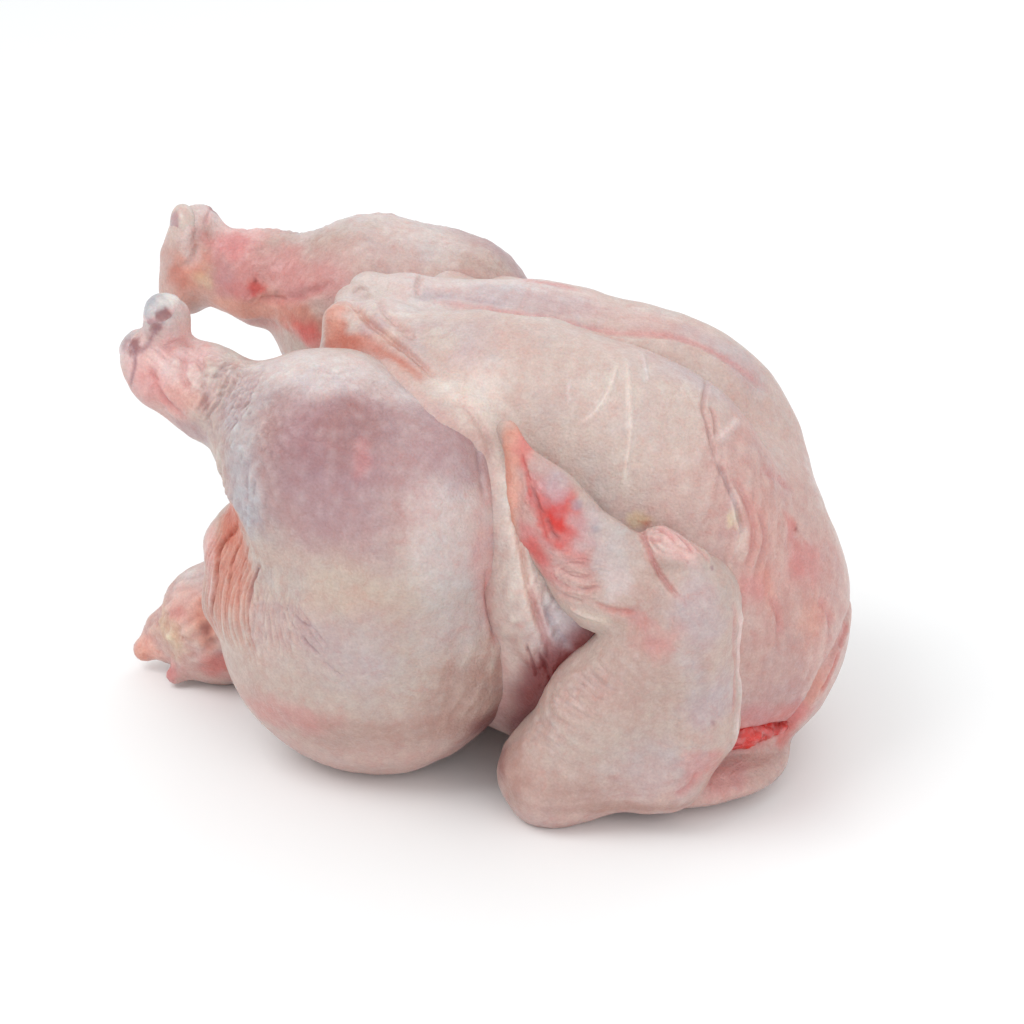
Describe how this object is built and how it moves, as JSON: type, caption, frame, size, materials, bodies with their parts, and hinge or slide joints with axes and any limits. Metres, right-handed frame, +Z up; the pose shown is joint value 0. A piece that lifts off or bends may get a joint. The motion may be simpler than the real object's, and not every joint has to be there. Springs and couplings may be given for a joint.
{
  "type": "whole raw chicken",
  "caption": "Whole raw plucked chicken lying on its back, with drumsticks, folded wings, tail, neck opening and an open body cavity.",
  "frame": {"origin": "on the table, under the middle of the bird's bounding box", "axes": "+Z up through the breast, +X from tail to neck, the bird's left side towards -Y"},
  "size_m": [0.268, 0.1864, 0.1674],
  "materials": {
    "skin": "moist pale pink raw skin with a soft sheen",
    "flesh": "wet red raw meat and cavity lining",
    "cartilage": "smooth pale blue-grey gristle at the ankles",
    "fat": "soft cream fat at the cavity mouth"
  },
  "bodies": {
    "root": {"whole_raw_chicken": "skin"}
  },
  "joints": []
}
